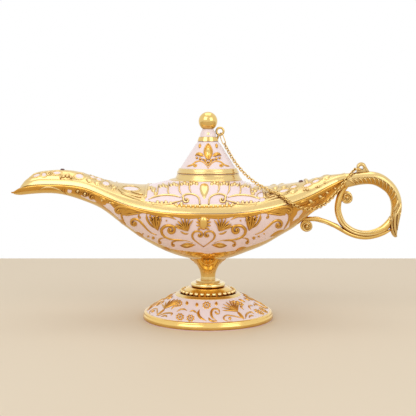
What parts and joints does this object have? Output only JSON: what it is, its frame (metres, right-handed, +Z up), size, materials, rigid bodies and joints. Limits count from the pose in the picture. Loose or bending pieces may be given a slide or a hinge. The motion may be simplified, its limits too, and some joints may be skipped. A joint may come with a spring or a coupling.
{
  "type": "genie oil lamp",
  "caption": "Boat-shaped oil lamp on a round stemmed foot, with a long spout, a scrolled ring handle and a cone lid held by a chain.",
  "frame": {"origin": "on the table under the middle of the foot and lid", "axes": "+X from the spout to the handle, +Z up, +Y to the lamp's far side as the picture shows it"},
  "size_m": [0.2207, 0.0738, 0.1169],
  "materials": {
    "gold_cast": "satin gold plating over a casting",
    "gold_polished": "polished gold plating",
    "enamel_and_gold": "pale pink enamel with raised gold scrollwork",
    "gold_wire": "gold-plated wire",
    "steel": "plain zinc-plated steel",
    "red_stone": "dark red faceted glass"
  },
  "bodies": {
    "lamp": {"lower_shell": "enamel_and_gold", "upper_shell": "enamel_and_gold", "foot": "enamel_and_gold", "foot_dome": "gold_cast", "stem": "gold_cast", "handle_bow": "gold_cast", "handle_scroll": "gold_cast", "handle_brace": "gold_cast", "chain_lug": "gold_cast", "stem_collar": "gold_polished", "lug_ring": "gold_wire", "lid_chain": "gold_wire", "foot_bolt": "steel", "bolt_washer": "steel", "bolt_nut": "steel", "tail_pin": "steel", "spout_gem": "red_stone", "tail_gem": "red_stone"},
    "chain_collar": {"neck_band": "gold_polished", "eye_link": "gold_wire"},
    "lid": {"lid_cone": "enamel_and_gold", "lid_plug": "gold_cast", "neck_cap": "enamel_and_gold", "lid_knob": "gold_polished", "knob_stud": "steel", "knob_nut": "steel"}
  },
  "joints": [
    {"name": "lid_lift", "type": "slide", "parent": "lamp", "child": "chain_collar", "axis": [0, 0, 1], "range_m": [0, 0.035], "deforming": ["lid_chain"]},
    {"name": "lid_turn", "type": "hinge", "parent": "chain_collar", "child": "lid", "pos_m": [0, 0, 0.0825], "axis": [0, 0, 1], "continuous": true}
  ]
}
